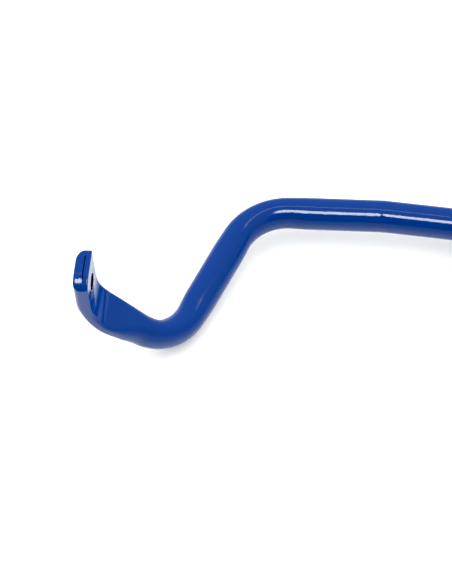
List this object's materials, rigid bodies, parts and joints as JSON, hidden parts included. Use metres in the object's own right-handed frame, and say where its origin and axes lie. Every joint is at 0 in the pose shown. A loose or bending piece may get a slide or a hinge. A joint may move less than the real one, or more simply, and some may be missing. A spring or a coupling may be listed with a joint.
{
  "type": "sway bar",
  "caption": "Tubular automotive sway bar with cranked arms and flattened, drilled link ends, carried in split bushings under saddle brackets, with clamp-on stop collars.",
  "frame": {"origin": "centre of the four bracket studs, on the plane of the bracket feet that bolts to the chassis", "axes": "+X along the torsion axis towards the right link eye, -Y the way the arms point, +Z out of the mounting plane towards the chassis; on a bench the crowns of the brackets and the low bends of the bar rest below"},
  "size_m": [1.0422, 0.2147, 0.1071],
  "materials": {
    "bar_coat": "glossy blue powder coat",
    "bushing": "satin moulded polyurethane",
    "bracket_zinc": "bright zinc plate",
    "bolt_steel": "bright zinc plate",
    "washer_zinc": "bright zinc plate",
    "spring_steel": "dull zinc plate",
    "collar_alloy": "black anodised",
    "screw_steel": "black oxide"
  },
  "bodies": {
    "chassis_mounts": {"bushing_left": "bushing", "bushing_right": "bushing", "bracket_left": "bracket_zinc", "bracket_right": "bracket_zinc", "bolt_left_front": "bolt_steel", "bolt_left_rear": "bolt_steel", "bolt_right_front": "bolt_steel", "bolt_right_rear": "bolt_steel", "washer_left_front": "washer_zinc", "washer_left_rear": "washer_zinc", "washer_right_front": "washer_zinc", "washer_right_rear": "washer_zinc", "spring_washer_left_front": "spring_steel", "spring_washer_left_rear": "spring_steel", "spring_washer_right_front": "spring_steel", "spring_washer_right_rear": "spring_steel"},
    "bar": {"bar": "bar_coat", "collar_left_upper": "collar_alloy", "collar_left_lower": "collar_alloy", "collar_right_upper": "collar_alloy", "collar_right_lower": "collar_alloy", "collar_screw_left_front": "screw_steel", "collar_screw_left_rear": "screw_steel", "collar_screw_right_front": "screw_steel", "collar_screw_right_rear": "screw_steel"}
  },
  "joints": [
    {"name": "bar_roll", "type": "hinge", "parent": "chassis_mounts", "child": "bar", "pos_m": [0, 0, -0.021], "axis": [1, 0, 0], "range_deg": [-25, 25]}
  ]
}
